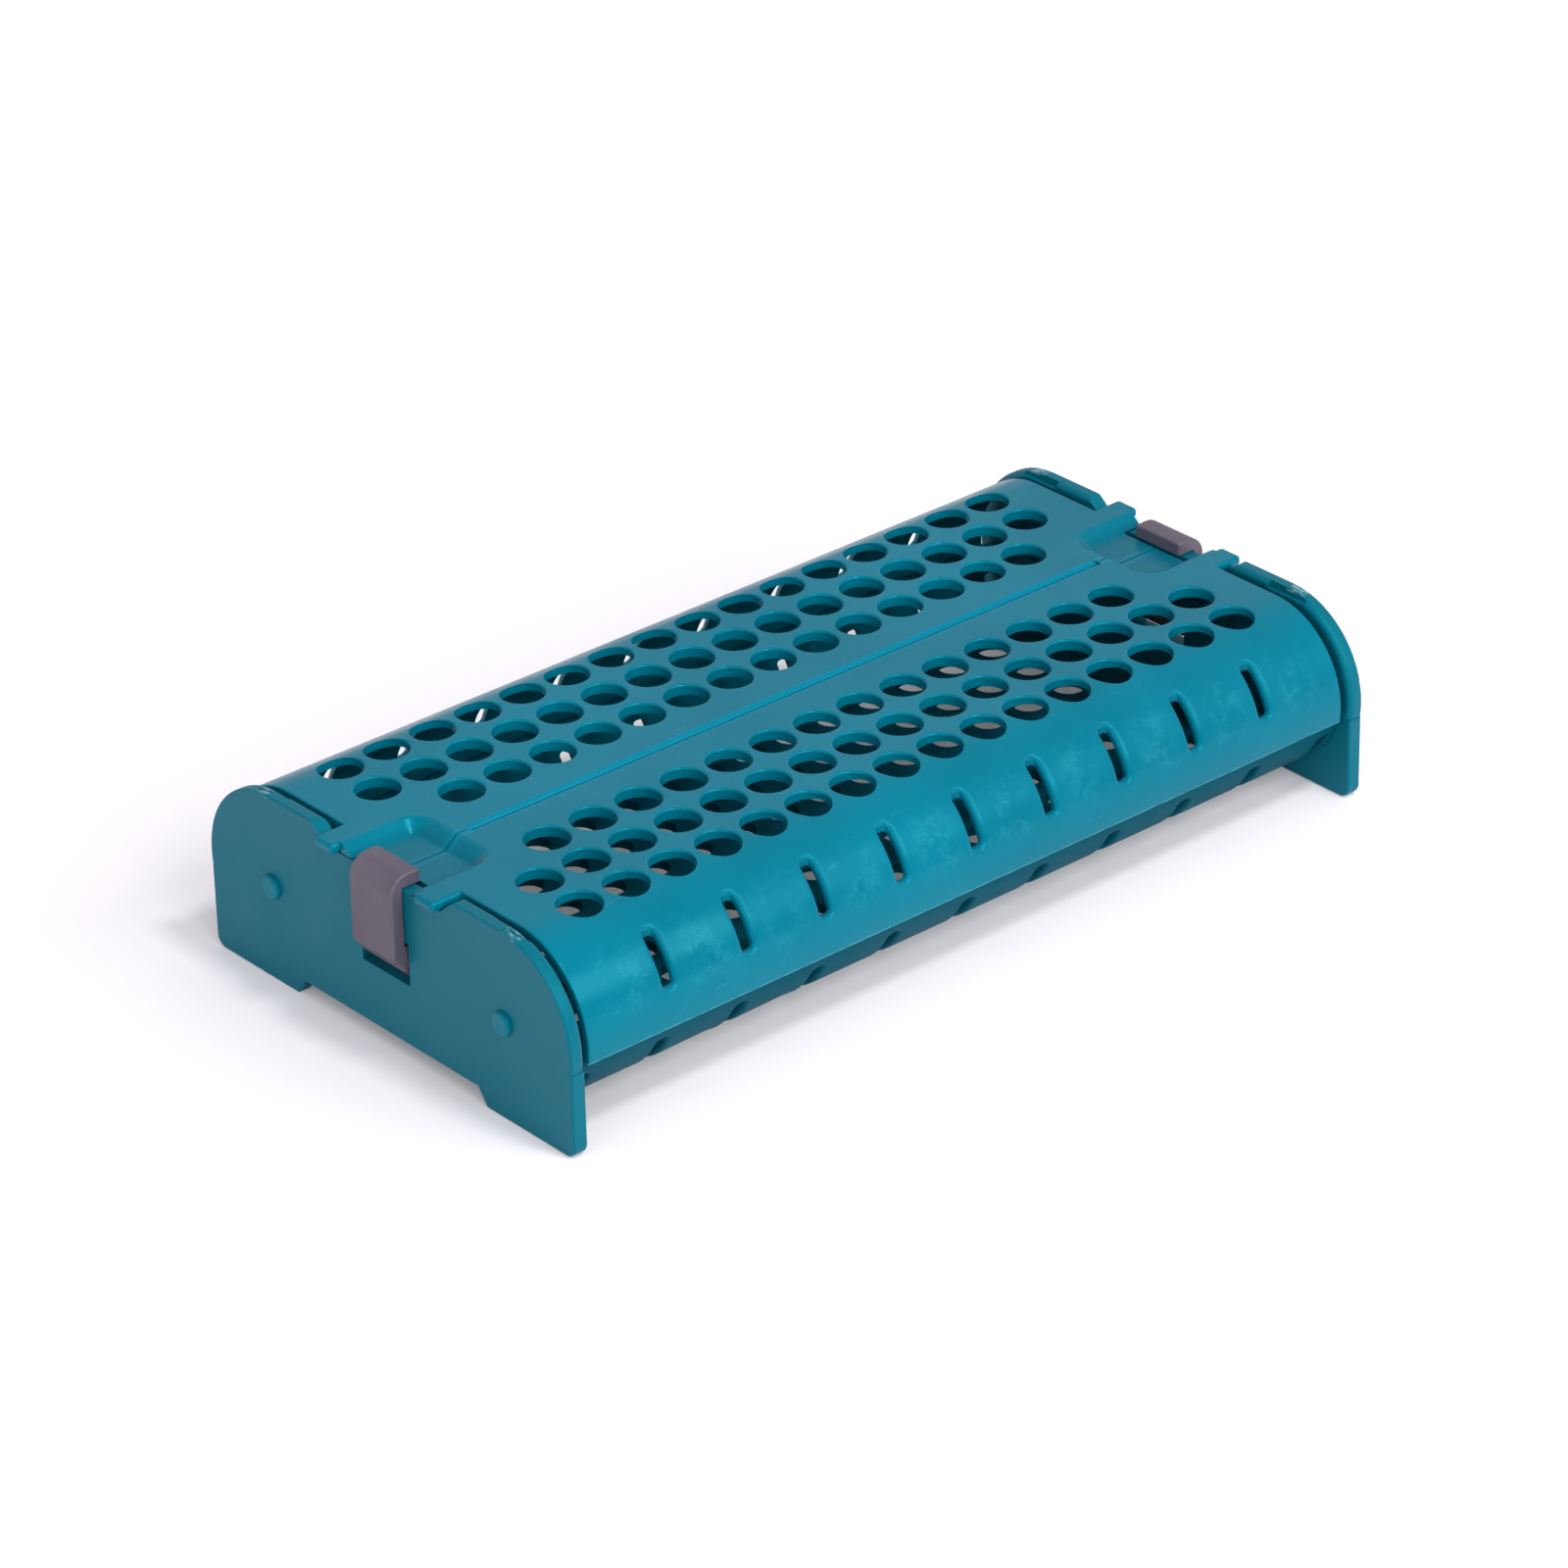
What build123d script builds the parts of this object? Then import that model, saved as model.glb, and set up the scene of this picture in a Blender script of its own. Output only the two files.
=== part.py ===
from build123d import *
import os
from math import atan, degrees, radians, sin, sqrt

# A perforated instrument cassette: a base with two end plates, two J-shaped lids that turn about pins
# in the plates, and a latch at each end. Millimetres. X runs along the cassette, Y across it, from the
# front lid to the rear lid, and Z up. The origin is on the table, under the middle.

# End plates
body_length = 202.0
plate_thickness = 3.2
pin_spacing = 69.0
pin_height = 20.6
plate_radius = 19.5
plate_step_height = 17.6
plate_step = 0.12
foot_corner_radius = 2.5
foot_recess_half_width = 26.0
foot_recess_height = 3.4
foot_recess_slant = 2.5
plate_outer_edge_radius = 0.4
foot_inner_edge_radius = 0.5
rim_inner_edge_radius = 1.2
rim_end_radius = 2.0

# Hinge pins
pin_radius = 2.5
pin_proud = 1.0
pin_end_radius = 0.6
pin_head_radius = 3.6
pin_head_thickness = 1.2
pin_running_clearance = 0.05
pin_seat_clearance = 0.02

# Lids
lid_radius = 18.6
lid_side_thickness = 1.6
lid_deck_thickness = 2.2
lid_edge_height = 17.5
deck_start_inset = 1.5
lid_end_clearance = 1.6
seam_gap = 0.4
seam_edge_radius = 1.2
lower_edge_radius = 0.6
lid_end_edge_radius = 0.4

# Round holes in the lids' decks
lid_hole_radius = 4.5
lid_hole_mouth_radius = 0.5
lid_hole_pitch_x = 11.07
lid_hole_pitch_y = 11.4
lid_first_row = 12.65
lid_row_overrun = 2.0
lid_hole_end_margin = 12.4
hole_ledge = 0.1
hole_ledge_depth = 1.35
hole_web = 1.0

# Slots in the curved sides of the lids and the tray
slot_pitch = 19.0
lid_slot_width = 2.5
lid_slot_low_angle = 16.9
lid_slot_high_angle = 52.6
lid_slot_end_lean = 4.1
lid_slot_mouth_radius = 1.25
lid_slot_end_margin = 12.0
tray_slot_width = 3.0
tray_slot_high_angle = -25.5
tray_slot_low_angle = -64.0
tray_slot_mouth_radius = 0.8
tray_slot_end_margin = 2.5
slot_corner_radius = 0.8

# Pocket and tabs at each end of the lids
pocket_start = 83.1
pocket_half_width = 11.7
pocket_corner_radius = 4.5
pocket_depth = 2.5
pocket_inset = 3.0
pocket_floor_thickness = 1.8
pocket_edge_radius = 1.3
pocket_rim_depth = 0.3
pocket_rim_width = 0.4
tab_width = 5.6
tab_overhang = 2.2
tab_edge_radius = 0.9
tab_seat_clearance = 0.3
sweep_clearance = 0.35

# Lid ears, which carry the pins
ear_thickness = 2.2
ear_boss_radius = 4.4
ear_inset = 0.5
ear_width = 9.0

# Tray
tray_clearance = 0.3
tray_wall_thickness = 1.8
tray_floor_thickness = 2.0
tray_underside_height = 4.0
tray_rim_height = 19.4
tray_rim_radius = 0.7
tongue_length = 1.0
tongue_inset = 0.4
tongue_clearance = 0.05
floor_hole_radius = 3.5
floor_hole_row_pitch = 11.2
floor_hole_side_margin = 0.3

# Latches
latch_half_width = 6.3
latch_thickness = 2.6
latch_plate_clearance = 0.25
latch_hook_gap = 0.4
latch_hook_thickness = 2.6
latch_hook_reach = 4.1
latch_outer_corner_radius = 4.2
latch_inner_corner_radius = 0.3
latch_edge_radius = 0.5
latch_skirt_height = 22.4
latch_pivot_height = 20.7
latch_nose_radius = 2.4
latch_foot_height = 24.5
latch_tip_clearance = 0.4
pivot_radius = 1.2
pivot_length = 0.9
pivot_clearance = 0.05
pivot_end_clearance = 0.3
window_side_gap = 0.8
window_low_gap = 1.8
window_high_gap = 1.0

# Small marks on the end plates' rims
rim_notch_start = 30.5
rim_notch_end = 40.5
rim_notch_depth = 0.9
rim_notch_drop = 1.6
gate_mark_start_angle = 0.5
gate_mark_end_angle = 11.0
gate_mark_width = 1.5
gate_mark_depth = 0.15

# Places that follow from the sizes above
pin_y = pin_spacing / 2
plate_outer_x = body_length / 2
plate_inner_x = plate_outer_x - plate_thickness
plate_half_width = pin_y + plate_radius
plate_top = pin_height + plate_radius
lid_end_x = plate_inner_x - lid_end_clearance
lid_top = pin_height + lid_radius
lid_inner_radius = lid_radius - lid_side_thickness
deck_underside = lid_top - lid_deck_thickness
pocket_floor = lid_top - pocket_depth
pocket_slope = pocket_inset / pocket_depth
tab_end_x = plate_outer_x + tab_overhang
tab_inner_y = pocket_half_width + pocket_rim_width
tab_outer_y = tab_inner_y + tab_width
tab_seat_height = deck_underside - tab_seat_clearance
tray_radius = lid_inner_radius - tray_clearance
tray_inner_radius = tray_radius - tray_wall_thickness
tray_floor_height = tray_underside_height + tray_floor_thickness
latch_inner_x = plate_outer_x + latch_plate_clearance
latch_outer_x = latch_inner_x + latch_thickness
latch_tip_x = plate_outer_x - latch_hook_reach
pan_end_x = latch_tip_x - latch_tip_clearance
latch_hook_underside = pocket_floor + latch_hook_gap
latch_top_height = latch_hook_underside + latch_hook_thickness
window_half_width = latch_half_width + window_side_gap
window_low_height = latch_pivot_height - latch_nose_radius - window_low_gap
window_high_height = latch_foot_height + window_high_gap
pivot_x = plate_outer_x - plate_thickness / 2
through = 2 * plate_top


def section_plane(x):
    """A drawing plane across the cassette at x, with Y to the right and Z up."""
    return Plane(origin=(x, 0, 0), x_dir=(0, 1, 0), z_dir=(1, 0, 0))


def run_along_x(sketch, start, length):
    return extrude(section_plane(start) * sketch, amount=length)


def rectangle_between(low_y, high_y, low_z, high_z):
    return Pos((low_y + high_y) / 2, (low_z + high_z) / 2) * Rectangle(high_y - low_y, high_z - low_z)


def box_between(low, high):
    size = [b - a for a, b in zip(low, high)]
    middle = [(a + b) / 2 for a, b in zip(low, high)]
    return Pos(*middle) * Box(*size)


def disc_at_pin(side, radius):
    """A disc about a hinge axis: side is -1 for the front and 1 for the rear."""
    return Pos(side * pin_y, pin_height) * Circle(radius)


def pin_stadium(radius):
    """The outline of two discs about the hinge axes and all between them."""
    return disc_at_pin(-1, radius) + disc_at_pin(1, radius) + rectangle_between(
        -pin_y, pin_y, pin_height - radius, pin_height + radius
    )


def turned_round(shape):
    return Rot(0, 0, 180) * shape


def ring_sector(inner, outer, low_angle, high_angle, lean=0.0):
    """Part of a ring about the front hinge axis, with angles measured up from straight outward.
    The upper end leans, so that the inner arc is shorter than the outer one by lean degrees."""
    outer_arc = CenterArc((-pin_y, pin_height), outer, 180 - high_angle, high_angle - low_angle)
    inner_high = high_angle - lean
    inner_arc = CenterArc((-pin_y, pin_height), inner, 180 - inner_high, inner_high - low_angle)
    outline = Curve() + [
        outer_arc,
        Line(outer_arc @ 1, inner_arc @ 1),
        inner_arc,
        Line(inner_arc @ 0, outer_arc @ 0),
    ]
    return make_face(outline)


def slot_cutter(x, width, inner, outer, low_angle, high_angle, lean=0.0):
    """A slot through a curved side of the front, running round the curve, with rounded corners."""
    sector = ring_sector(inner, outer, low_angle, high_angle, lean)
    block = run_along_x(sector, x - width / 2, width)
    corners = block.edges().filter_by(GeomType.LINE).filter_by(lambda edge: abs(edge.tangent_at(0.5).X) < 0.5)
    return fillet(corners, min(slot_corner_radius, 0.4 * width))


def even_places(reach, pitch):
    """Places spaced by pitch about zero, with one at zero, as far as reach on each side."""
    steps = int(reach / pitch)
    return [index * pitch for index in range(-steps, steps + 1)]


def distance_from_front_pin(point):
    return sqrt((point.Y + pin_y) ** 2 + (point.Z - pin_height) ** 2)


def slot_mouths(shape, radius, end_x):
    """The edges of the slots on the front curved side of the given radius."""
    tolerance = 0.01

    def is_mouth(edge):
        points = [edge @ place for place in (0, 0.5, 1)]
        on_curve = all(abs(distance_from_front_pin(point) - radius) < tolerance for point in points)
        inside = all(abs(point.X) < end_x - tolerance for point in points)
        short = abs(points[0].X - points[2].X) < slot_pitch / 2
        return on_curve and inside and short

    return shape.edges().filter_by(is_mouth)


# Tray


def tray_section(inset):
    """The tray's cross-section, thinner by inset on every side."""
    outer = pin_stadium(tray_radius - inset)
    inner = pin_stadium(tray_inner_radius + inset)
    high = tray_rim_height - inset
    outer_band = rectangle_between(-through, through, tray_underside_height + inset, high)
    inner_band = rectangle_between(-through, through, tray_floor_height - inset, through)
    return (outer & outer_band) - (inner & inner_band)


def tray_side_slots():
    reach = plate_inner_x - tray_slot_end_margin
    return [
        slot_cutter(
            x,
            tray_slot_width,
            tray_inner_radius - tray_wall_thickness,
            tray_radius + tray_wall_thickness,
            tray_slot_low_angle,
            tray_slot_high_angle,
        )
        for x in even_places(reach, slot_pitch)
    ]


def hole_columns():
    """The x places of the lids' round holes, which the floor's holes share."""
    count = 1 + int(2 * (lid_end_x - lid_hole_end_margin) / lid_hole_pitch_x)
    return [(column - (count - 1) / 2) * lid_hole_pitch_x for column in range(count)]


def floor_holes():
    drop = pin_height - tray_floor_height
    flat_half_width = pin_y + sqrt(tray_inner_radius**2 - drop**2)
    hole = Cylinder(floor_hole_radius, 3 * tray_floor_thickness)
    middle = tray_underside_height + tray_floor_thickness / 2
    rows = even_places(flat_half_width - floor_hole_radius - floor_hole_side_margin, floor_hole_row_pitch)
    return [Pos(x, y, middle) * hole for x in hole_columns() for y in rows]


def tray_with_front_slots(shape):
    slotted = shape - tray_side_slots()
    mouths = slot_mouths(slotted, tray_radius, plate_inner_x)
    return fillet(mouths, tray_slot_mouth_radius)


def make_base_tray():
    section = tray_section(0)
    rim = section.vertices().filter_by(lambda vertex: abs(vertex.Y - tray_rim_height) < 0.01)
    section = fillet(rim, min(tray_rim_radius, 0.45 * tray_wall_thickness))
    body = run_along_x(section, -plate_inner_x, 2 * plate_inner_x)
    body = tray_with_front_slots(body)
    body = tray_with_front_slots(turned_round(body))
    tongue_end = plate_inner_x + tongue_length
    body = body + run_along_x(tray_section(tongue_inset), plate_inner_x, tongue_end - plate_inner_x)
    body = body + run_along_x(tray_section(tongue_inset), -tongue_end, tongue_end - plate_inner_x)
    return body - floor_holes()


# End plates


def plate_head():
    """The left plate above the step: a stadium about the pins, with a broad round on its inner edge."""
    head = run_along_x(pin_stadium(plate_radius), -plate_outer_x, plate_thickness)
    head = fillet(outer_face_of(head).outer_wire().edges(), plate_outer_edge_radius)
    head = fillet(inner_face_of(head).outer_wire().edges(), rim_inner_edge_radius)
    return head & box_between((-body_length, -through, plate_step_height), (0, through, through))


def plate_base():
    """The left plate below the step: straight sides, and two feet with a recess between them."""
    half_width = plate_half_width - plate_step
    outline = rectangle_between(-half_width, half_width, 0, plate_step_height)
    corners = outline.vertices().filter_by(lambda vertex: abs(vertex.Y) < 0.01)
    outline = fillet(corners, foot_corner_radius)
    low_half_width = foot_recess_half_width + foot_recess_slant
    recess = make_face(
        Polyline(
            (-low_half_width, -foot_recess_height),
            (-low_half_width, 0),
            (-foot_recess_half_width, foot_recess_height),
            (foot_recess_half_width, foot_recess_height),
            (low_half_width, 0),
            (low_half_width, -foot_recess_height),
            close=True,
        )
    )
    base = run_along_x(outline - recess, -plate_outer_x, plate_thickness)
    faces_and_radii = ((outer_face_of, plate_outer_edge_radius), (inner_face_of, foot_inner_edge_radius))
    for face_of, radius in faces_and_radii:
        edges = face_of(base).outer_wire().edges()
        base = fillet(edges.filter_by(lambda edge: (edge @ 0.5).Z < plate_step_height - 0.01), radius)
    return base


def tab_sweep_radius():
    """How near a hinge axis the tabs come, less a clearance for the plate's rim inside them."""
    rounded_y = tab_outer_y - tab_edge_radius
    rounded_z = deck_underside + tab_edge_radius
    reach = sqrt((pin_y - rounded_y) ** 2 + (rounded_z - pin_height) ** 2)
    return reach - tab_edge_radius - sweep_clearance


def swept_zone():
    """What the tabs pass through above their seat, further than their sweep from both hinge axes.
    Its upper corners are rounded, where the plate's rim ends."""
    sweep_radius = tab_sweep_radius()
    zone = rectangle_between(-pin_y, pin_y, tab_seat_height, plate_top)
    zone = zone - disc_at_pin(-1, sweep_radius) - disc_at_pin(1, sweep_radius)
    zone = zone + rectangle_between(-sweep_radius, sweep_radius, plate_top, plate_top + plate_thickness)
    rim_ends = zone.vertices().filter_by(
        lambda vertex: abs(vertex.Y - plate_top) < 0.01 and abs(vertex.X) < sweep_radius - 0.01
    )
    return run_along_x(fillet(rim_ends, rim_end_radius), -plate_outer_x - 1, plate_thickness + 2)


def outer_face_of(plate):
    return plate.faces().filter_by(Axis.X).sort_by(Axis.X)[0]


def inner_face_of(plate):
    return plate.faces().filter_by(Axis.X).sort_by(Axis.X)[-1]


def gate_marks():
    low_angle = 90 - gate_mark_end_angle
    high_angle = 90 - gate_mark_start_angle
    sector = ring_sector(plate_radius - gate_mark_depth, plate_radius + 1, low_angle, high_angle)
    front = run_along_x(sector, -plate_outer_x, gate_mark_width)
    return [front, mirror(front, about=Plane.XZ)]


def rim_notches():
    low_x = -plate_inner_x - rim_notch_depth
    front = box_between(
        (low_x, -rim_notch_end, plate_top - rim_notch_drop),
        (-plate_inner_x + 1, -rim_notch_start, plate_top + 1),
    )
    return [front, mirror(front, about=Plane.XZ)]


def make_left_end_plate():
    plate = plate_head() + plate_base()
    plate = plate - swept_zone()
    window = box_between(
        (-plate_outer_x - 1, -window_half_width, window_low_height),
        (-plate_inner_x + 1, window_half_width, window_high_height),
    )
    pin_hole = Rot(0, 90, 0) * Cylinder(pin_radius + pin_running_clearance, 2 * plate_thickness)
    pin_holes = [Pos(-pivot_x, side * pin_y, pin_height) * pin_hole for side in (-1, 1)]
    socket_length = 2 * (latch_half_width + pivot_length + pivot_end_clearance)
    sockets = Rot(90, 0, 0) * Cylinder(pivot_radius + pivot_clearance, socket_length)
    sockets = Pos(-pivot_x, 0, latch_pivot_height) * sockets
    groove_depth = tongue_length + tongue_clearance
    groove_section = tray_section(tongue_inset - tongue_clearance)
    groove = run_along_x(groove_section, -plate_inner_x - groove_depth, groove_depth)
    return plate - [window, *pin_holes, sockets, groove, *rim_notches(), *gate_marks()]


# Hinge pins


def make_front_left_hinge_pin():
    shank_start = plate_outer_x + pin_proud
    ear_inner_x = lid_end_x - ear_thickness
    shank_length = shank_start - ear_inner_x
    shank = Rot(0, 90, 0) * Cylinder(pin_radius, shank_length)
    shank = Pos(-shank_start + shank_length / 2, -pin_y, pin_height) * shank
    outer_edge = shank.edges().sort_by(Axis.X)[0]
    shank = fillet(outer_edge, pin_end_radius)
    head_x = ear_inner_x - pin_head_thickness / 2
    head = Pos(-head_x, -pin_y, pin_height) * Rot(0, 90, 0) * Cylinder(pin_head_radius, pin_head_thickness)
    return shank + head


# Lids


def lid_section():
    """The front lid's J: a flat deck, a curve about the hinge axis, and a lower edge."""
    deck_start = -pin_y + deck_start_inset
    curve_top = pin_height + lid_inner_radius
    outer = disc_at_pin(-1, lid_radius) + rectangle_between(-pin_y, -seam_gap / 2, lid_edge_height, lid_top)
    inner = disc_at_pin(-1, lid_inner_radius)
    inner = inner + rectangle_between(-pin_y, deck_start, 0, curve_top)
    inner = inner + rectangle_between(deck_start, pin_y, 0, deck_underside)
    below = rectangle_between(-through, through, -through, lid_edge_height)
    section = outer - inner - below
    seam_corner = section.vertices().filter_by(
        lambda vertex: abs(vertex.X + seam_gap / 2) < 0.01 and abs(vertex.Y - lid_top) < 0.01
    )
    section = fillet(seam_corner, min(seam_edge_radius, 0.8 * lid_deck_thickness))
    lower_corner = section.vertices().sort_by(lambda vertex: vertex.X + vertex.Y)[0]
    return fillet(lower_corner, min(lower_edge_radius, 0.4 * lid_side_thickness))


def pan_growth():
    """How far the pocket's outer wall stands outside the inner one at the same height."""
    return pocket_floor_thickness * sqrt(1 + pocket_slope**2)


def tapered_prism(growth, depth, slope):
    """A block at the right end, hanging from the deck's top, whose sides run inward as they go down."""
    far_x = tab_end_x + 4 * pocket_depth
    start = pocket_start - growth
    half_width = pocket_half_width + growth
    outline = RectangleRounded(far_x - start, 2 * half_width, pocket_corner_radius + growth)
    outline = Pos((start + far_x) / 2, 0) * outline
    downward = Plane(origin=(0, 0, lid_top), x_dir=(1, 0, 0), z_dir=(0, 0, -1))
    return extrude(downward * outline, amount=depth, taper=degrees(atan(slope)))


def pocket_prism(growth, depth):
    return tapered_prism(growth, depth, pocket_slope)


def pocket_cutter():
    """The pocket, with a round between its walls and its floor, and a bevel round its rim."""
    block = pocket_prism(0, pocket_depth)
    floor_edges = block.faces().sort_by(Axis.Z)[0].edges()
    block = fillet(floor_edges, pocket_edge_radius)
    bevel_slope = pocket_slope + pocket_rim_width / pocket_rim_depth
    return block + tapered_prism(pocket_rim_width, pocket_rim_depth, bevel_slope)


def pocket_pan():
    """What the front lid adds at its right end for the pocket: a pan that ends short of the latch,
    and the upper part of its side wall, which runs on over the end plate."""
    before_latch = box_between((0, -through, 0), (pan_end_x, -seam_gap / 2, lid_top))
    over_plate = box_between((0, -through, 0), (plate_outer_x, -seam_gap / 2, lid_top))
    pan = pocket_prism(pan_growth(), pocket_depth + pocket_floor_thickness) & before_latch
    wall = pocket_prism(pan_growth(), lid_deck_thickness) & over_plate
    return pan + wall


def end_tab():
    """The front lid's right tab, rounded all along and at its free end."""
    root_x = lid_end_x - lid_deck_thickness
    tab = box_between((root_x, -tab_outer_y, deck_underside), (tab_end_x, -tab_inner_y, lid_top))
    free_edges = tab.edges().filter_by(lambda edge: (edge @ 0.5).X > root_x + 0.01)
    return fillet(free_edges, min(tab_edge_radius, 0.45 * lid_deck_thickness))


def lid_hole_cutter():
    """A round hole with a rounded mouth and a narrow ledge part way down."""
    mouth = lid_hole_mouth_radius
    wide = lid_hole_radius + mouth
    ledge_depth = min(hole_ledge_depth, lid_deck_thickness)
    deep = 3 * lid_deck_thickness
    bend = mouth * (1 - sin(radians(45)))
    outline = Curve() + [
        Polyline(
            (0, mouth),
            (0, -deep),
            (lid_hole_radius - hole_ledge, -deep),
            (lid_hole_radius - hole_ledge, -ledge_depth),
            (lid_hole_radius, -ledge_depth),
            (lid_hole_radius, -mouth),
        ),
        ThreePointArc((lid_hole_radius, -mouth), (lid_hole_radius + bend, -bend), (wide, 0)),
        Polyline((wide, 0), (wide, mouth), (0, mouth)),
    ]
    return revolve(Plane.XZ * make_face(outline), axis=Axis.Z)


def lid_hole_places():
    rows = 1 + int((pin_y + lid_row_overrun - lid_first_row) / lid_hole_pitch_y)
    keep_out = lid_hole_radius + lid_hole_mouth_radius + hole_web
    places = []
    for x in hole_columns():
        for row in range(rows):
            y = lid_first_row + row * lid_hole_pitch_y
            in_pocket = abs(x) + keep_out > pocket_start and y - keep_out < pocket_half_width
            if not in_pocket:
                places.append((x, -y))
    return places


def lid_ear():
    """The right-hand ear, which hangs from the deck and holds a hinge pin."""
    outer_y = -pin_y + ear_inset
    deck_middle = deck_underside + lid_deck_thickness / 2
    strap = rectangle_between(outer_y, outer_y + ear_width, pin_height, deck_middle)
    ear = run_along_x(strap + disc_at_pin(-1, ear_boss_radius), lid_end_x - ear_thickness, ear_thickness)
    bore = Rot(0, 90, 0) * Cylinder(pin_radius + pin_seat_clearance, 4 * ear_thickness)
    return ear - Pos(lid_end_x, -pin_y, pin_height) * bore


def lid_end_edges(shape):
    """The outer edges of both ends: round the curve and along the deck to the seam."""

    def is_outer(edge):
        point = edge @ 0.5
        on_curve = point.Y < -pin_y and abs(distance_from_front_pin(point) - lid_radius) < 0.01
        on_deck = point.Y > -pin_y and abs(point.Z - lid_top) < 0.01
        return abs(abs(point.X) - lid_end_x) < 0.01 and (on_curve or on_deck)

    return shape.edges().filter_by(is_outer)


def make_front_lid():
    lid = run_along_x(lid_section(), -lid_end_x, 2 * lid_end_x)
    lid = fillet(lid_end_edges(lid), lid_end_edge_radius)
    reach = lid_end_x - lid_slot_end_margin
    lid = lid - [
        slot_cutter(
            x,
            lid_slot_width,
            lid_inner_radius - lid_side_thickness,
            lid_radius + lid_side_thickness,
            lid_slot_low_angle,
            lid_slot_high_angle + lid_slot_end_lean,
            3 * lid_slot_end_lean,
        )
        for x in even_places(reach, slot_pitch)
    ]
    mouths = slot_mouths(lid, lid_radius, lid_end_x)
    lid = fillet(mouths, min(lid_slot_mouth_radius, 0.8 * lid_side_thickness))
    for end in (1, -1):
        lid = lid + pocket_pan() + end_tab()
        lid = lid - pocket_cutter()
        lid = lid + lid_ear()
        lid = mirror(lid, about=Plane.YZ)
    hole = lid_hole_cutter()
    return lid - [Pos(x, y, lid_top) * hole for x, y in lid_hole_places()]


# Latches


def make_left_latch():
    """A clip: a hook at the top, a flat face, and a foot that turns in the plate's window."""
    pivot = (pivot_x, latch_pivot_height)
    profile = make_face(
        Polyline(
            (latch_tip_x, latch_hook_underside),
            (latch_tip_x, latch_top_height),
            (latch_outer_x, latch_top_height),
            (latch_outer_x, latch_skirt_height),
            (pivot_x + 1, latch_pivot_height - latch_nose_radius),
            (pivot_x, latch_pivot_height - latch_nose_radius),
            (pivot_x, latch_foot_height),
            (latch_inner_x, latch_foot_height),
            (latch_inner_x, latch_hook_underside),
            close=True,
        )
    )
    for x, z, radius in (
        (latch_outer_x, latch_top_height, latch_outer_corner_radius),
        (latch_inner_x, latch_hook_underside, latch_inner_corner_radius),
        (latch_tip_x, latch_top_height, latch_edge_radius),
    ):
        corner = profile.vertices().sort_by_distance((x, z, 0))[0]
        profile = fillet(corner, radius)
    profile = profile + Pos(*pivot) * Circle(latch_nose_radius)
    side_on = Plane(origin=(0, -latch_half_width, 0), x_dir=(-1, 0, 0), z_dir=(0, 1, 0))
    latch = extrude(side_on * profile, amount=2 * latch_half_width)
    side_edges = latch.faces().filter_by(Axis.Y).edges()
    outer_edges = side_edges.filter_by(lambda edge: (edge @ 0.5).X < -latch_inner_x - 0.1)
    latch = fillet(outer_edges, latch_edge_radius)
    pivots = Pos(-pivot_x, 0, latch_pivot_height) * Rot(90, 0, 0) * Cylinder(
        pivot_radius, 2 * (latch_half_width + pivot_length)
    )
    return latch + pivots


def make_parts():
    left_plate = make_left_end_plate()
    front_lid = make_front_lid()
    pin = make_front_left_hinge_pin()
    far_pin = mirror(pin, about=Plane.YZ)
    latch = make_left_latch()
    return {
        "base_tray": make_base_tray(),
        "left_end_plate": left_plate,
        "right_end_plate": turned_round(left_plate),
        "front_lid": front_lid,
        "rear_lid": turned_round(front_lid),
        "front_left_hinge_pin": pin,
        "front_right_hinge_pin": far_pin,
        "rear_left_hinge_pin": turned_round(far_pin),
        "rear_right_hinge_pin": turned_round(pin),
        "left_latch": latch,
        "right_latch": turned_round(latch),
    }


os.makedirs("parts", exist_ok=True)
for name, shape in make_parts().items():
    export_step(shape, f"parts/{name}.step")
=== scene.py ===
from math import cos, pi, radians, sin

import bpy
from mathutils import Matrix, Vector

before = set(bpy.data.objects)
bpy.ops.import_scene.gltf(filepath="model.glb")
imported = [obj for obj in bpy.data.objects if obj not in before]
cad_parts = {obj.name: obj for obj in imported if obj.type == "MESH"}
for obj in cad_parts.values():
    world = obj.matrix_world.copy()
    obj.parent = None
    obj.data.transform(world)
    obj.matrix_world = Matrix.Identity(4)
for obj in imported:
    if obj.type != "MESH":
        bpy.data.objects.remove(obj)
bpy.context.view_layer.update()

# The photograph's camera: places in metres, angles in degrees, lens and sensor in millimetres
CAMERA_AZIMUTH = -40.541
CAMERA_ELEVATION = 28.541
CAMERA_ROLL = -1.266
CAMERA_DISTANCE = 1.2583
CAMERA_RIGHT = -0.00281
CAMERA_UP = 0.01638
CAMERA_NEAR_LIMIT = 0.05
CAMERA_FAR_LIMIT = 50.0
CAMERA_LENS_MM = 147.88
SENSOR_WIDTH_MM = 36.0

# Places of the marks, in metres. A fade is the width over which a mark comes or goes.
SLOT_PITCH = 0.019
REFLECTION_LOW = 0.0265
REFLECTION_HIGH = 0.0325
REFLECTION_FADE = 0.004
SEAM_HALF_WIDTH = 0.0011
SEAM_FADE = 0.0008
POCKET_START = 0.0835
POCKET_HALF_WIDTH = 0.0117
POCKET_FADE = 0.002
POCKET_FLOOR = 0.0367
POCKET_FLOOR_MARGIN = 0.0004
POCKET_FLOOR_FADE = 0.0014
LID_LOWER_EDGE = 0.0175
LOWER_EDGE_MARGIN = 0.0001
LOWER_EDGE_FADE = 0.0006
RIM_TOP = 0.0401
RIM_MARK_DEPTH = 0.0010
RIM_MARK_FADE = 0.0004
GATE_INNER = 0.0352
GATE_OUTER = 0.0388
GATE_FADE = 0.0006
LATCH_CORNER = 0.0385
LATCH_CORNER_FADE = 0.0009
TRAY_FLOOR = 0.006
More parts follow.
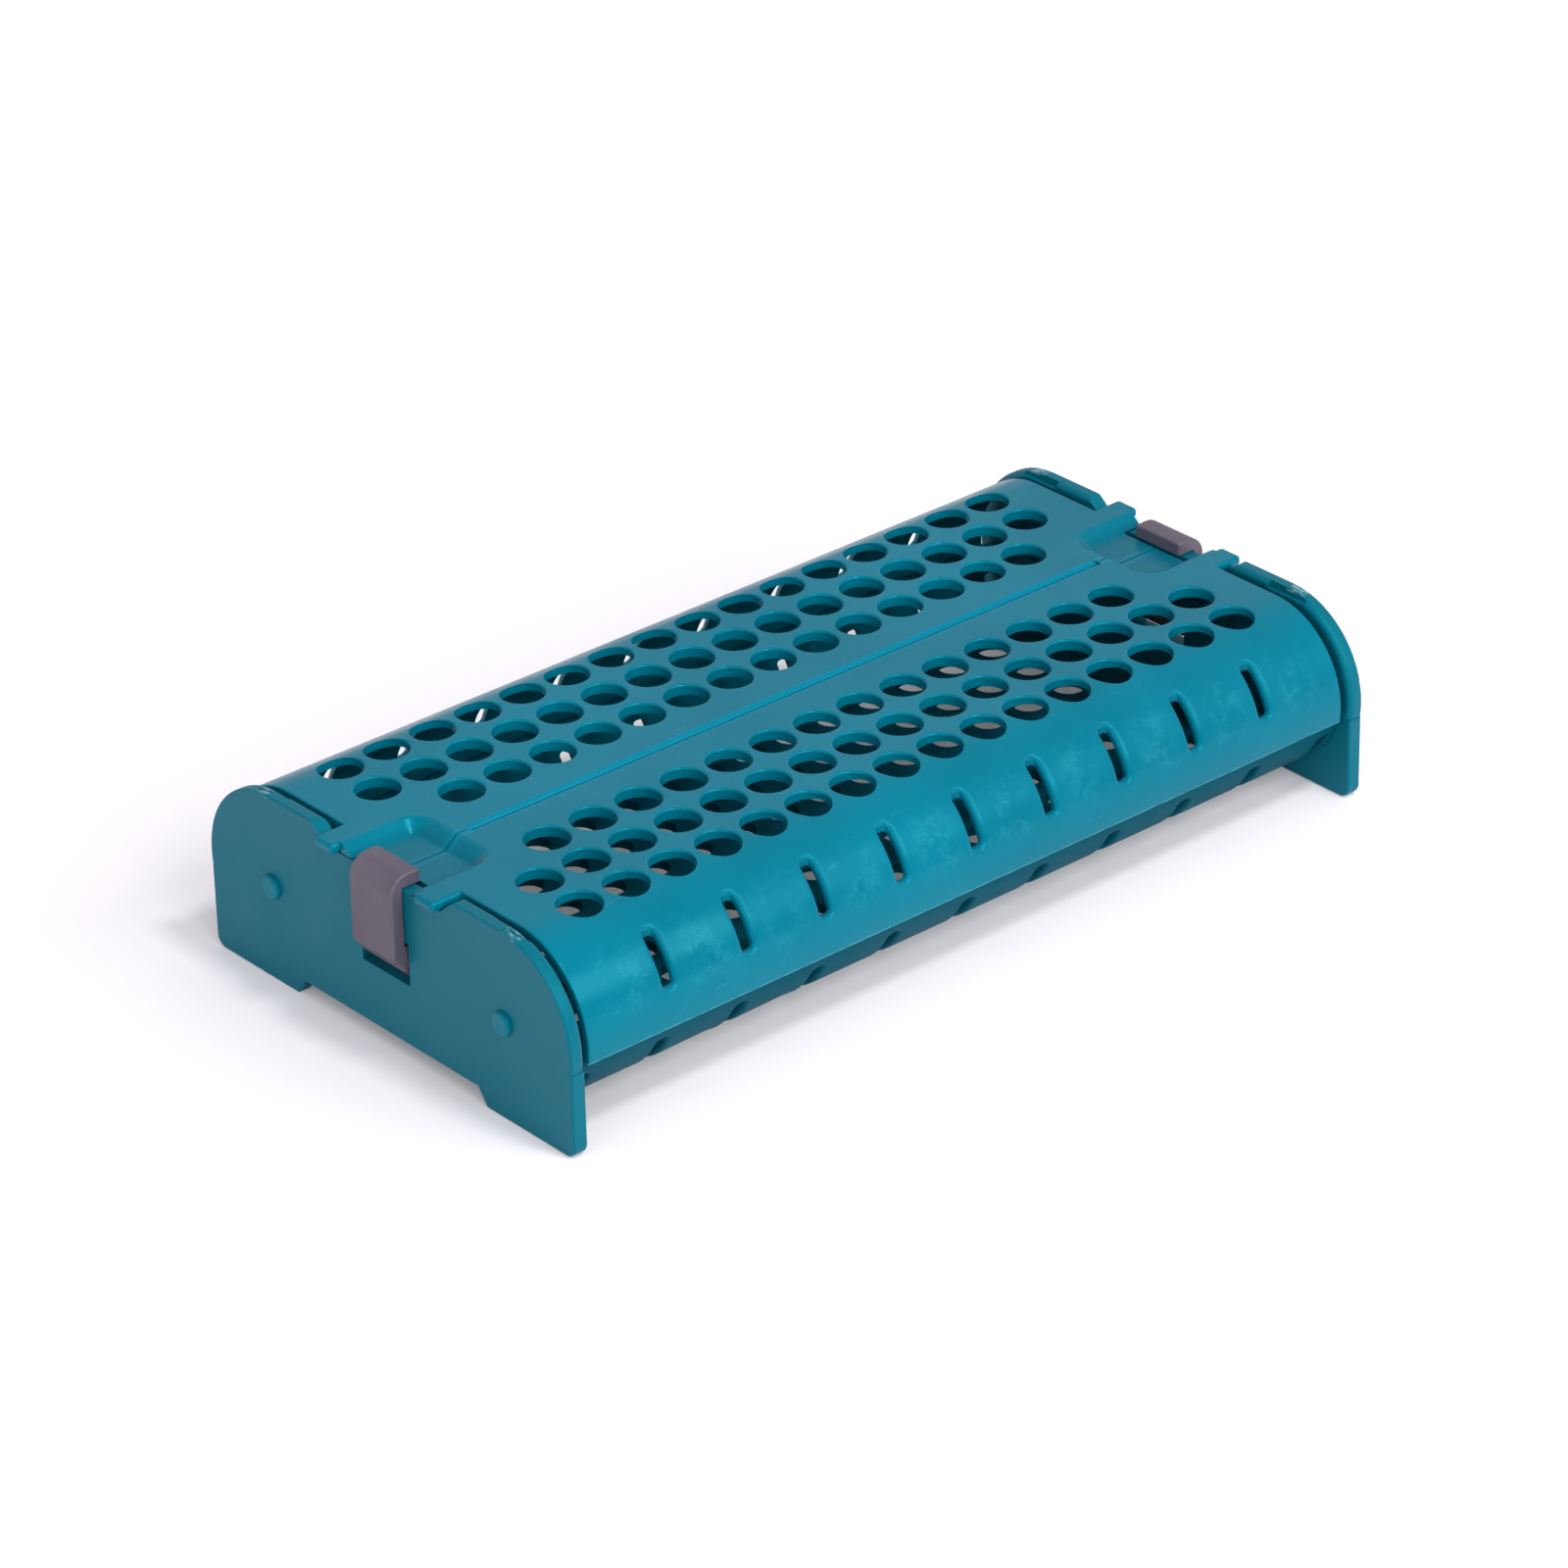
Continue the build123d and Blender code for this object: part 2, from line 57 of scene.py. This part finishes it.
TRAY_SHADE_DEPTH = 0.0012
TRAY_SHADE_FADE = 0.0008

# How strongly each mark covers the colour below it
REFLECTION_STRENGTH = 0.35
SEAM_SHADING_STRENGTH = 0.8
POCKET_SHADE_STRENGTH = 0.25
GATE_STRENGTH = 0.55
LATCH_TOP_SHADE_STRENGTH = 0.4
TRAY_SHADE_STRENGTH = 0.25

# The painted reflection's wave along a lid is 1 at a slot and -1 midway between two slots
REFLECTION_WAVE_START = 0.55
REFLECTION_WAVE_FULL = -0.7

# Noise patterns. A scale counts features per metre, and start and full are values of the noise.
REFLECTION_CLOUDS = dict(scale=230.0, detail=6.0, roughness=0.75, start=0.46, full=0.6)
REFLECTION_SPECKLE = dict(scale=4500.0, detail=2.0, start=0.42, full=0.6, least=0.2)
RAGGED_EDGE = dict(scale=700.0, detail=3.0, start=0.4, full=0.55, least=0.15, most=0.8)
GATE_STREAKS = dict(scale=1500.0, detail=3.0, start=0.45, full=0.6)
SLOW_CHANGE = dict(scale=22.0, detail=3.0, start=0.3, full=0.7)
HAZE = dict(scale=60.0, detail=6.0, roughness=0.65, start=0.56, full=0.8, most=0.16)
SPECKS = dict(scale=3000.0, detail=1.0, most=0.35)
SCRATCHES = dict(scale=1100.0, detail=2.0, start=0.71, full=0.76, most=0.3)
GLOSS_PATCHES = dict(scale=35.0, detail=5.0, start=0.3, full=0.7)
FLOOR_PATCHES = dict(scale=3.0, detail=2.0, start=0.3, full=0.7, least=-0.03, most=0.03)
WAVES = dict(scale=25.0, detail=2.0)
GRAIN = dict(scale=900.0, detail=2.0)

# Stretch of the noise along X, Y and Z, where a number below 1 makes features longer
NO_STRETCH = (1.0, 1.0, 1.0)
GATE_STRETCH = (1.0, 0.25, 1.0)
SCRATCH_STRETCH = (0.12, 1.0, 1.0)

# Surface of the resin, with heights in metres
RESIN_IOR = 1.5
SPECK_EDGE = 0.05
SMOOTHER = 0.05
ROUGHER = 0.06
WAVE_HEIGHT = 0.00025
GRAIN_HEIGHT = 0.00001

# Places of the colour sockets on a mix node, where several sockets share a name
MIX_SHARE = 0
MIX_FIRST = 6
MIX_SECOND = 7
MIX_RESULT = 2


def srgb(red, green, blue):
    """A linear colour from 0 to 255 screen values."""

    def linear(value):
        share = value / 255
        return share / 12.92 if share <= 0.04045 else ((share + 0.055) / 1.055) ** 2.4

    return (linear(red), linear(green), linear(blue), 1.0)


WHITE = (1.0, 1.0, 1.0, 1.0)
TEAL = srgb(0, 116, 139)
TEAL_PALE = srgb(48, 152, 170)
TEAL_DARK = srgb(0, 107, 129)
# A darker copy of TEAL for the end plates: painted shade for their dimmer faces.
TEAL_PLATE_SHADED = srgb(0, 101, 120)
# A darker copy of TEAL for the tray: painted shade under the lids.
TEAL_TRAY_SHADED = srgb(0, 82, 101)
TEAL_TRAY_SHADE = srgb(0, 70, 86)
TEAL_EDGE = srgb(60, 186, 202)
# Deeper teal painted beside the seam as shading
TEAL_SEAM_SHADING = srgb(0, 122, 150)
TEAL_SHADE = srgb(0, 66, 84)
TEAL_SHEEN = (0.1, 0.88, 1.0, 1.0)
WORN_WHITE = srgb(150, 190, 200)
GRAY = srgb(112, 106, 119)
GRAY_PALE = srgb(146, 138, 152)
GRAY_DARK = srgb(86, 77, 91)

# Shader helpers


def new_material(name):
    material = bpy.data.materials.new(name)
    material.use_nodes = True
    tree = material.node_tree
    tree.nodes.clear()
    output = tree.nodes.new("ShaderNodeOutputMaterial")
    shader = tree.nodes.new("ShaderNodeBsdfPrincipled")
    tree.links.new(shader.outputs["BSDF"], output.inputs["Surface"])
    return material, tree, shader


def feed(tree, socket, value):
    """Sets a socket to a plain value, or links it to another node's output."""
    if isinstance(value, (int, float, tuple)):
        socket.default_value = value
    else:
        tree.links.new(value, socket)


def object_coordinates(tree, stretch=NO_STRETCH):
    source = tree.nodes.new("ShaderNodeTexCoord")
    mapping = tree.nodes.new("ShaderNodeMapping")
    mapping.inputs["Scale"].default_value = stretch
    tree.links.new(source.outputs["Object"], mapping.inputs["Vector"])
    return mapping.outputs["Vector"]


def split(tree, vector):
    node = tree.nodes.new("ShaderNodeSeparateXYZ")
    tree.links.new(vector, node.inputs["Vector"])
    return node.outputs["X"], node.outputs["Y"], node.outputs["Z"]


def noise(tree, vector, scale, detail, roughness=0.5):
    node = tree.nodes.new("ShaderNodeTexNoise")
    node.inputs["Scale"].default_value = scale
    node.inputs["Detail"].default_value = detail
    node.inputs["Roughness"].default_value = roughness
    tree.links.new(vector, node.inputs["Vector"])
    return node.outputs["Fac"]


def remap(tree, value, low, high, new_low=0.0, new_high=1.0):
    node = tree.nodes.new("ShaderNodeMapRange")
    node.interpolation_type = "SMOOTHSTEP"
    node.inputs["From Min"].default_value = low
    node.inputs["From Max"].default_value = high
    node.inputs["To Min"].default_value = new_low
    node.inputs["To Max"].default_value = new_high
    tree.links.new(value, node.inputs["Value"])
    return node.outputs["Result"]


def patches(tree, vector, scale, detail, start, full, least=0.0, most=1.0, roughness=0.5):
    """Rises from least to most while the noise rises from start to full."""
    value = noise(tree, vector, scale, detail, roughness)
    return remap(tree, value, start, full, least, most)


def above(tree, value, level, fade):
    """Zero up to the level, and one from the fade beyond it."""
    return remap(tree, value, level, level + fade)


def below(tree, value, level, fade):
    """One up to the level, and zero from the fade beyond it."""
    return remap(tree, value, level + fade, level)


def maths(tree, operation, first, second=0.0):
    node = tree.nodes.new("ShaderNodeMath")
    node.operation = operation
    for socket, value in zip(node.inputs, (first, second)):
        feed(tree, socket, value)
    return node.outputs["Value"]


def product(tree, *values):
    result = values[0]
    for value in values[1:]:
        result = maths(tree, "MULTIPLY", result, value)
    return result


def between(tree, value, low, high, fade):
    """One where the value lies between low and high, and zero further out than the fade."""
    return product(tree, above(tree, value, low - fade, fade), below(tree, value, high, fade))


def mix_colours(tree, share, first, second):
    node = tree.nodes.new("ShaderNodeMix")
    node.data_type = "RGBA"
    feed(tree, node.inputs[MIX_SHARE], share)
    feed(tree, node.inputs[MIX_FIRST], first)
    feed(tree, node.inputs[MIX_SECOND], second)
    return node.outputs[MIX_RESULT]


def bump(tree, height, distance, base_normal=None):
    node = tree.nodes.new("ShaderNodeBump")
    node.inputs["Strength"].default_value = 1.0
    node.inputs["Distance"].default_value = distance
    tree.links.new(height, node.inputs["Height"])
    if base_normal is not None:
        tree.links.new(base_normal, node.inputs["Normal"])
    return node.outputs["Normal"]


# Marks and painted light and shade that belong to one kind of piece


def lid_marks(tree, here, base):
    """A patchy painted reflection between the slots, painted shading in a deeper teal beside the seam,
    painted shade in the pocket and a ragged pale lower edge.
    """
    x, y, z = split(tree, here)
    along = maths(tree, "ABSOLUTE", x)
    side = maths(tree, "ABSOLUTE", y)

    # Painted reflection: pale patches halfway up the curved sides, between the slots, stand in for the key
    # light's reflection.
    wave = maths(tree, "COSINE", maths(tree, "MULTIPLY", x, 2 * pi / SLOT_PITCH))
    painted_reflection = product(
        tree,
        remap(tree, wave, REFLECTION_WAVE_START, REFLECTION_WAVE_FULL),
        between(tree, z, REFLECTION_LOW, REFLECTION_HIGH, REFLECTION_FADE),
        patches(tree, here, **REFLECTION_CLOUDS),
        patches(tree, here, **REFLECTION_SPECKLE),
        REFLECTION_STRENGTH,
    )
    base = mix_colours(tree, painted_reflection, base, TEAL_PALE)

    # Painted shading: the rounded edges beside the seam are painted a deeper teal, standing in for their lack
    # of the flat top's sheen.
    seam = product(tree, below(tree, side, SEAM_HALF_WIDTH, SEAM_FADE), SEAM_SHADING_STRENGTH)
    base = mix_colours(tree, seam, base, TEAL_SEAM_SHADING)

    # Painted shade: the pocket floor at each end of the lids is darkened.
    pocket = product(
        tree,
        below(tree, z, POCKET_FLOOR + POCKET_FLOOR_MARGIN, POCKET_FLOOR_FADE),
        above(tree, along, POCKET_START, POCKET_FADE),
        below(tree, side, POCKET_HALF_WIDTH - POCKET_FADE, POCKET_FADE),
        POCKET_SHADE_STRENGTH,
    )
    base = mix_colours(tree, pocket, base, TEAL_SHADE)

    edge = below(tree, z, LID_LOWER_EDGE + LOWER_EDGE_MARGIN, LOWER_EDGE_FADE)
    ragged = patches(tree, here, **RAGGED_EDGE)
    return mix_colours(tree, product(tree, edge, ragged), base, TEAL_EDGE)


def plate_marks(tree, here, base):
    """Whitish rough streaks on the rim where the mould's gates were."""
    _, y, z = split(tree, here)
    streaks = product(
        tree,
        between(tree, maths(tree, "ABSOLUTE", y), GATE_INNER, GATE_OUTER, GATE_FADE),
        above(tree, z, RIM_TOP - RIM_MARK_DEPTH, RIM_MARK_FADE),
        patches(tree, object_coordinates(tree, GATE_STRETCH), **GATE_STREAKS),
        GATE_STRENGTH,
    )
    return mix_colours(tree, streaks, base, WORN_WHITE)


def latch_marks(tree, here, base):
    """Painted shade: the hook's top face is darker than the front face."""
    _, _, z = split(tree, here)
    top = product(tree, above(tree, z, LATCH_CORNER, LATCH_CORNER_FADE), LATCH_TOP_SHADE_STRENGTH)
    return mix_colours(tree, top, base, GRAY_DARK)


def tray_marks(tree, here, base):
    """Painted shade: the tray is a little darker everywhere above its underside."""
    _, _, z = split(tree, here)
    shade = product(tree, above(tree, z, TRAY_FLOOR - TRAY_SHADE_DEPTH, TRAY_SHADE_FADE), TRAY_SHADE_STRENGTH)
    return mix_colours(tree, shade, base, TEAL_TRAY_SHADE)


def moulded_plastic(name, colours, roughness, speck_start, marks=None, gloss=0.4):
    """Moulded resin: slow colour variation, pale haze, specks and scratches, soft waves and fine grain."""
    colour, pale, dark, sheen = colours
    material, tree, shader = new_material(name)
    here = object_coordinates(tree)
    scratch_space = object_coordinates(tree, SCRATCH_STRETCH)

    base = mix_colours(tree, patches(tree, here, **SLOW_CHANGE), colour, dark)
    base = mix_colours(tree, patches(tree, here, **HAZE), base, pale)
    specks = patches(tree, here, **SPECKS, start=speck_start, full=speck_start + SPECK_EDGE)
    base = mix_colours(tree, specks, base, pale)
    base = mix_colours(tree, patches(tree, scratch_space, **SCRATCHES), base, pale)
    if marks:
        base = marks(tree, here, base)
    tree.links.new(base, shader.inputs["Base Color"])

    rough = patches(tree, here, **GLOSS_PATCHES, least=roughness - SMOOTHER, most=roughness + ROUGHER)
    tree.links.new(rough, shader.inputs["Roughness"])
    shader.inputs["IOR"].default_value = RESIN_IOR
    shader.inputs["Specular IOR Level"].default_value = gloss
    shader.inputs["Specular Tint"].default_value = sheen

    waves = bump(tree, noise(tree, here, **WAVES), WAVE_HEIGHT)
    grain = bump(tree, noise(tree, here, **GRAIN), GRAIN_HEIGHT, waves)
    tree.links.new(grain, shader.inputs["Normal"])
    return material


# Materials: main colour, pale marks, dark patches and tint of the shine

TEALS = (TEAL, TEAL_PALE, TEAL_DARK, TEAL_SHEEN)
# The end plates take a darker copy of the teal as painted shade.
PLATE_TEALS = (TEAL_PLATE_SHADED, TEAL_PALE, TEAL_PLATE_SHADED, TEAL_SHEEN)
# The tray takes a darker copy still, as painted shade under the lids.
TRAY_TEALS = (TEAL_TRAY_SHADED, TEAL_PALE, TEAL_TRAY_SHADED, TEAL_SHEEN)
GRAYS = (GRAY, GRAY_PALE, GRAY_DARK, WHITE)
lid_plastic = moulded_plastic("lid_teal", TEALS, 0.25, 0.72, lid_marks)
plate_plastic = moulded_plastic("plate_teal", PLATE_TEALS, 0.42, 0.72, plate_marks)
tray_plastic = moulded_plastic("tray_teal", TRAY_TEALS, 0.65, 0.74, tray_marks, gloss=0.15)
pin_plastic = moulded_plastic("pin_teal", TEALS, 0.40, 0.74)
latch_plastic = moulded_plastic("latch_gray", GRAYS, 0.40, 0.74, latch_marks)


def paint(node, material):
    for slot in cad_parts[node].material_slots:
        slot.material = material


for lid in ("front_lid", "rear_lid"):
    paint(lid, lid_plastic)
for plate in ("left_end_plate", "right_end_plate"):
    paint(plate, plate_plastic)
paint("base_tray", tray_plastic)
for corner in ("front_left", "front_right", "rear_left", "rear_right"):
    paint(corner + "_hinge_pin", pin_plastic)
for latch in ("left_latch", "right_latch"):
    paint(latch, latch_plastic)


# Floor, light and camera

FLOOR_SIZE = 8.0
FLOOR_FADE_START = 0.12
FLOOR_FADE_END = 0.42
FLOOR_NEAR = srgb(243, 239, 242)
FLOOR_FAR = srgb(250, 250, 252)
FLOOR_GLOW_NEAR = 0.13
FLOOR_GLOW_FAR = 0.22
FLOOR_ROUGHNESS = 0.7
FLOOR_GLOSS = 0.1
LIGHTS = [
    # name, place, width, height, watts, colour
    ("key", (0.1, -1.7, 1.25), 2.4, 1.0, 31.0, (1.0, 0.99, 0.98)),
    ("overhead", (0.08, -0.7, 1.4), 0.22, 0.22, 7.0, (1.0, 1.0, 1.0)),
    ("left_fill", (-1.5, -0.7, 0.7), 1.0, 0.8, 4.0, (0.97, 0.98, 1.0)),
]
WORLD_COLOUR = (0.96, 0.95, 1.0, 1.0)
WORLD_STRENGTH = 0.53


def add_floor():
    """A pale card whose own glow only the camera sees, so that it adds no light to the object."""
    bpy.ops.mesh.primitive_plane_add(size=FLOOR_SIZE)
    floor = bpy.context.object
    floor.name = "floor"
    material, tree, shader = new_material("floor_card")
    here = object_coordinates(tree)
    length = tree.nodes.new("ShaderNodeVectorMath")
    length.operation = "LENGTH"
    tree.links.new(here, length.inputs[0])
    distance = length.outputs["Value"]

    away = remap(tree, distance, FLOOR_FADE_START, FLOOR_FADE_END)
    share = maths(tree, "ADD", away, patches(tree, here, **FLOOR_PATCHES))
    colour = mix_colours(tree, share, FLOOR_NEAR, FLOOR_FAR)
    tree.links.new(colour, shader.inputs["Base Color"])
    shader.inputs["Roughness"].default_value = FLOOR_ROUGHNESS
    shader.inputs["Specular IOR Level"].default_value = FLOOR_GLOSS

    seen = tree.nodes.new("ShaderNodeLightPath").outputs["Is Camera Ray"]
    glow = remap(tree, distance, FLOOR_FADE_START, FLOOR_FADE_END, FLOOR_GLOW_NEAR, FLOOR_GLOW_FAR)
    shader.inputs["Emission Color"].default_value = WHITE
    tree.links.new(product(tree, seen, glow), shader.inputs["Emission Strength"])
    floor.data.materials.append(material)


def add_lights():
    """Area lights that all face the origin."""
    for name, place, width, height, watts, colour in LIGHTS:
        data = bpy.data.lights.new(name, "AREA")
        data.shape = "RECTANGLE"
        data.size = width
        data.size_y = height
        data.energy = watts
        data.color = colour
        lamp = bpy.data.objects.new(name, data)
        lamp.location = place
        lamp.rotation_euler = (-Vector(place)).to_track_quat("-Z", "Y").to_euler()
        bpy.context.scene.collection.objects.link(lamp)


def add_world():
    world = bpy.data.worlds.new("studio")
    bpy.context.scene.world = world
    world.use_nodes = True
    tree = world.node_tree
    tree.nodes.clear()
    output = tree.nodes.new("ShaderNodeOutputWorld")
    background = tree.nodes.new("ShaderNodeBackground")
    background.inputs["Color"].default_value = WORLD_COLOUR
    background.inputs["Strength"].default_value = WORLD_STRENGTH
    tree.links.new(background.outputs["Background"], output.inputs["Surface"])


def add_camera():
    """A camera that looks along a given direction, moved sideways and up in its own picture plane."""
    azimuth = radians(CAMERA_AZIMUTH)
    elevation = radians(CAMERA_ELEVATION)
    roll = radians(CAMERA_ROLL)
    back = Vector((sin(azimuth) * cos(elevation), -cos(azimuth) * cos(elevation), sin(elevation)))
    level = (-back).cross(Vector((0, 0, 1))).normalized()
    up = level.cross(-back)
    right_axis = cos(roll) * level + sin(roll) * up
    up_axis = -sin(roll) * level + cos(roll) * up
    place = back * CAMERA_DISTANCE + right_axis * CAMERA_RIGHT + up_axis * CAMERA_UP
    data = bpy.data.cameras.new("camera")
    data.lens = CAMERA_LENS_MM
    data.sensor_width = SENSOR_WIDTH_MM
    data.clip_start = CAMERA_NEAR_LIMIT
    data.clip_end = CAMERA_FAR_LIMIT
    camera = bpy.data.objects.new("camera", data)
    turn = Matrix((right_axis, up_axis, back)).transposed()
    camera.matrix_world = Matrix.Translation(place) @ turn.to_4x4()
    bpy.context.scene.collection.objects.link(camera)
    bpy.context.scene.camera = camera


add_floor()
add_lights()
add_world()
add_camera()
bpy.context.scene.view_settings.view_transform = "Standard"
